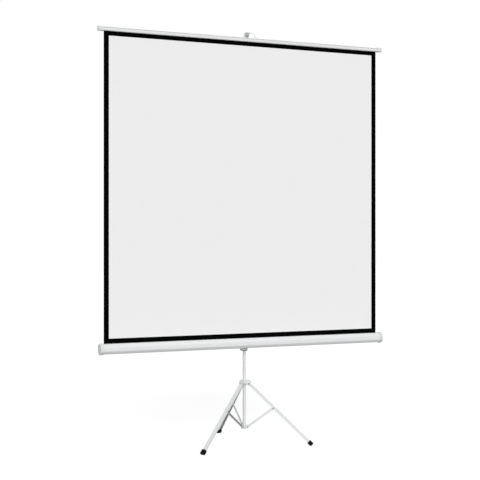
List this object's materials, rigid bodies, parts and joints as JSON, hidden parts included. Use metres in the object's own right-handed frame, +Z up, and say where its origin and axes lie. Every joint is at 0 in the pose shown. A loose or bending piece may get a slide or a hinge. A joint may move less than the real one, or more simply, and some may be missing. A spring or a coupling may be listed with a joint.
{
  "type": "tripod projector screen",
  "caption": "Square white projection screen with a black border, pulled up from a long eight-sided case that rides on a square mast with folding tripod legs.",
  "frame": {"origin": "the middle of the outer box, on the floor", "axes": "+Z up the mast, +X to the viewer's right along the case, -Y towards the viewer, on the picture's side"},
  "size_m": [1.871, 0.6414, 2.5143],
  "materials": {
    "white_paint": "off-white powder coat",
    "white_plastic": "off-white moulded plastic",
    "grey_plastic": "grey moulded plastic",
    "black_rubber": "black moulded rubber",
    "bare_steel": "zinc plated steel",
    "fabric_white": "matte white projection fabric",
    "border_black": "matte black printed border"
  },
  "bodies": {
    "mast": {"mast_tube": "white_paint", "mast_end_plug": "grey_plastic", "rod_collar": "grey_plastic", "rod_collar_screw": "bare_steel", "brace_collar": "white_plastic", "collar_pin_front_left": "bare_steel", "collar_pin_front_right": "bare_steel", "collar_pin_rear": "bare_steel"},
    "rod_knob": {"rod_lock_knob": "grey_plastic"},
    "hub": {"leg_hub": "white_plastic", "leg_pin_front_left": "bare_steel", "leg_pin_front_right": "bare_steel", "leg_pin_rear": "bare_steel"},
    "hub_screw": {"hub_lock_screw": "white_plastic"},
    "leg_a": {"leg_front_left": "white_paint", "foot_front_left": "black_rubber", "brace_rivet_front_left": "bare_steel"},
    "leg_b": {"leg_front_right": "white_paint", "foot_front_right": "black_rubber", "brace_rivet_front_right": "bare_steel"},
    "leg_c": {"leg_rear": "white_paint", "foot_rear": "black_rubber", "brace_rivet_rear": "bare_steel"},
    "brace_a": {"brace_front_left": "white_paint"},
    "brace_b": {"brace_front_right": "white_paint"},
    "brace_c": {"brace_rear": "white_paint"},
    "carriage": {"carriage_body": "grey_plastic", "carriage_band": "bare_steel", "pivot_bolt": "bare_steel"},
    "carriage_screw": {"carriage_knob": "grey_plastic"},
    "case": {"case_shell": "white_paint", "case_bracket": "bare_steel", "bracket_rivet_left": "bare_steel", "bracket_rivet_right": "bare_steel", "end_cap_left": "white_plastic", "end_cap_right": "white_plastic", "cap_screw_left": "bare_steel", "cap_screw_right": "bare_steel", "spring_shaft": "bare_steel", "roller_spring": "bare_steel", "screen_fabric": "fabric_white", "black_border": "border_black"},
    "roller": {"roller_tube": "bare_steel", "roller_plug_left": "grey_plastic", "roller_plug_right": "grey_plastic", "fabric_wraps": "fabric_white"},
    "bar": {"top_bar": "white_paint", "hem_rod": "white_plastic", "bar_cap_left": "white_plastic", "bar_cap_right": "white_plastic", "bail_clip_left": "white_paint", "bail_clip_right": "white_paint"},
    "bail": {"pull_bail": "bare_steel"},
    "rod": {"extension_rod": "bare_steel", "rod_guide": "grey_plastic", "hook_head": "bare_steel"}
  },
  "joints": [
    {"name": "hub_slide", "type": "slide", "parent": "mast", "child": "hub", "axis": [0, 0, 1], "range_m": [0, 0.1442]},
    {"name": "hub_screw_turn", "type": "hinge", "parent": "hub", "child": "hub_screw", "pos_m": [0, -0.11855, 0.373], "axis": [0, -1, 0], "range_deg": [0, 720]},
    {"name": "leg_fold_front_left", "type": "hinge", "parent": "hub", "child": "leg_a", "pos_m": [-0.02425, -0.11407, 0.37], "axis": [0.5, -0.866, 0], "range_deg": [0, 46.5]},
    {"name": "leg_fold_front_right", "type": "hinge", "parent": "hub", "child": "leg_b", "pos_m": [0.02425, -0.11407, 0.37], "axis": [0.5, 0.866, 0], "range_deg": [0, 46.5]},
    {"name": "leg_fold_rear", "type": "hinge", "parent": "hub", "child": "leg_c", "pos_m": [0, -0.07207, 0.37], "axis": [-1, 0, 0], "range_deg": [0, 46.5]},
    {"name": "brace_fold_front_left", "type": "hinge", "parent": "leg_a", "child": "brace_a", "pos_m": [-0.1547, -0.18938, 0.22365], "axis": [0.5, -0.866, 0], "range_deg": [-98.79, 0]},
    {"name": "brace_fold_front_right", "type": "hinge", "parent": "leg_b", "child": "brace_b", "pos_m": [0.1547, -0.18938, 0.22365], "axis": [0.5, 0.866, 0], "range_deg": [-98.79, 0]},
    {"name": "brace_fold_rear", "type": "hinge", "parent": "leg_c", "child": "brace_c", "pos_m": [0, 0.07856, 0.22365], "axis": [-1, 0, 0], "range_deg": [-98.79, 0]},
    {"name": "rod_slide", "type": "slide", "parent": "mast", "child": "rod", "axis": [0, 0, 1], "range_m": [-1.03, 0.1]},
    {"name": "rod_knob_turn", "type": "hinge", "parent": "mast", "child": "rod_knob", "pos_m": [0, -0.07405, 1.388], "axis": [0, 1, 0], "range_deg": [0, 720]},
    {"name": "carriage_lift", "type": "slide", "parent": "mast", "child": "carriage", "axis": [0, 0, 1], "range_m": [-0.03, 0.7]},
    {"name": "carriage_knob_turn", "type": "hinge", "parent": "carriage", "child": "carriage_screw", "pos_m": [0, -0.05805, 0.604], "axis": [0, 1, 0], "range_deg": [0, 720]},
    {"name": "case_swivel", "type": "hinge", "parent": "carriage", "child": "case", "pos_m": [0, -0.11805, 0.622], "axis": [0, 1, 0], "range_deg": [0, 38]},
    {"name": "top_bar_slide", "type": "slide", "parent": "case", "child": "bar", "axis": [0, 0, 1], "range_m": [-1.79, 0], "deforming": ["screen_fabric", "black_border"]},
    {"name": "roller_turn", "type": "hinge", "parent": "case", "child": "roller", "pos_m": [0, -0.15327, 0.622], "axis": [1, 0, 0], "range_deg": [-6420, 0]},
    {"name": "bail_swing", "type": "hinge", "parent": "bar", "child": "bail", "pos_m": [0.021, -0.13607, 2.4768], "axis": [1, 0, 0], "range_deg": [0, 115]}
  ],
  "couplings": [
    {"joint": "leg_fold_front_left", "follows": "hub_slide", "rad_per_m": 5.6277},
    {"joint": "leg_fold_front_right", "follows": "hub_slide", "rad_per_m": 5.6277},
    {"joint": "leg_fold_rear", "follows": "hub_slide", "rad_per_m": 5.6277},
    {"joint": "brace_fold_front_left", "follows": "hub_slide", "rad_per_m": -11.956},
    {"joint": "brace_fold_front_right", "follows": "hub_slide", "rad_per_m": -11.956},
    {"joint": "brace_fold_rear", "follows": "hub_slide", "rad_per_m": -11.956},
    {"joint": "roller_turn", "follows": "top_bar_slide", "rad_per_m": 62.5}
  ]
}
